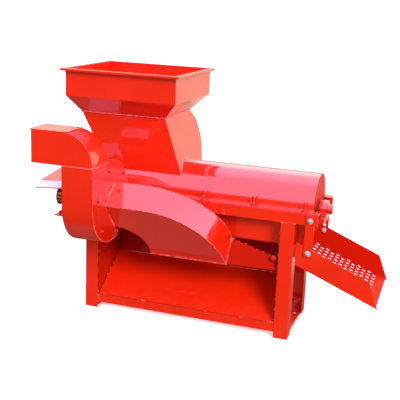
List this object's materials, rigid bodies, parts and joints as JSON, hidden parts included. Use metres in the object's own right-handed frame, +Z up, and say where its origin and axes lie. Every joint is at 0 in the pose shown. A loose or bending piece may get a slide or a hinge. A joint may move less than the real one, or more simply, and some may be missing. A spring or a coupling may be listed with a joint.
{
  "type": "corn thresher",
  "caption": "Powered corn thresher: feed hopper over a toothed drum with slotted concave, suction fan with bent duct, grain slide and hanging cob chute in a welded angle frame.",
  "frame": {"origin": "on the floor, under the middle of the whole machine's bounding box", "axes": "+X along the drum axis towards the cob chute, -Y towards the fan and suction duct, +Z up"},
  "size_m": [1.525, 0.8284, 1.143],
  "materials": {
    "red_paint": "gloss orange red enamel on welded sheet and angle steel",
    "steel": "turned bright steel",
    "cast_iron": "dark blue grey painted casting",
    "rubber": "matt black V-belt"
  },
  "bodies": {
    "frame": {"leg_front_left": "red_paint", "leg_front_right": "red_paint", "leg_rear_left": "red_paint", "leg_rear_right": "red_paint", "top_rail_front": "red_paint", "top_rail_rear": "red_paint", "low_rail_front": "red_paint", "low_rail_rear": "red_paint", "foot_bar_left": "red_paint", "foot_bar_right": "red_paint", "bearing_beam_right": "red_paint", "bearing_beam_left": "red_paint", "drum_cover": "red_paint", "cover_end_left": "red_paint", "cover_end_right": "red_paint", "casing_side_front": "red_paint", "casing_side_rear": "red_paint", "casing_end_left": "red_paint", "casing_end_right": "red_paint", "slotted_concave": "red_paint", "slide_plate": "red_paint", "funnel_plate": "red_paint", "bulkhead_left": "red_paint", "bulkhead_right": "red_paint", "drum_bearing_left": "red_paint", "drum_bearing_right": "red_paint", "belt_guard": "red_paint", "fan_side_right": "red_paint", "fan_side_left": "red_paint", "fan_scroll": "red_paint", "fan_inlet_plate": "red_paint", "outlet_elbow": "red_paint", "elbow_top_sheet": "red_paint", "fan_shelf": "red_paint", "fan_bearing": "red_paint", "duct_outer_wall": "red_paint", "duct_inner_wall": "red_paint", "duct_upper_wall": "red_paint", "duct_lower_wall": "red_paint", "duct_closer": "red_paint", "hopper_front": "red_paint", "hopper_right": "red_paint", "hopper_back": "red_paint", "hopper_left": "red_paint", "hopper_rim": "red_paint", "hopper_throat": "red_paint", "hanger_bar_front": "red_paint", "hanger_bar_rear": "red_paint", "fan_belt": "rubber"},
    "drum": {"drum_shaft": "steel", "drum_barrel": "red_paint", "cob_paddles": "red_paint", "drum_end_hub": "red_paint", "drum_pulley": "cast_iron"},
    "fan_rotor": {"fan_shaft": "steel", "fan_impeller": "red_paint", "fan_pulley": "cast_iron"},
    "chute": {"chute_floor": "red_paint", "chute_side_front": "red_paint", "chute_side_rear": "red_paint"}
  },
  "joints": [
    {"name": "drum_spin", "type": "hinge", "parent": "frame", "child": "drum", "pos_m": [-0.1225, 0.15675, 0.576], "axis": [1, 0, 0], "continuous": true},
    {"name": "fan_spin", "type": "hinge", "parent": "frame", "child": "fan_rotor", "pos_m": [-0.1225, -0.20925, 0.588], "axis": [1, 0, 0], "continuous": true},
    {"name": "chute_tilt", "type": "hinge", "parent": "frame", "child": "chute", "pos_m": [0.4435, 0.15675, 0.419], "axis": [0, 1, 0], "range_deg": [-8, 8]}
  ],
  "couplings": [
    {"joint": "fan_spin", "follows": "drum_spin", "ratio": 2.2948}
  ]
}
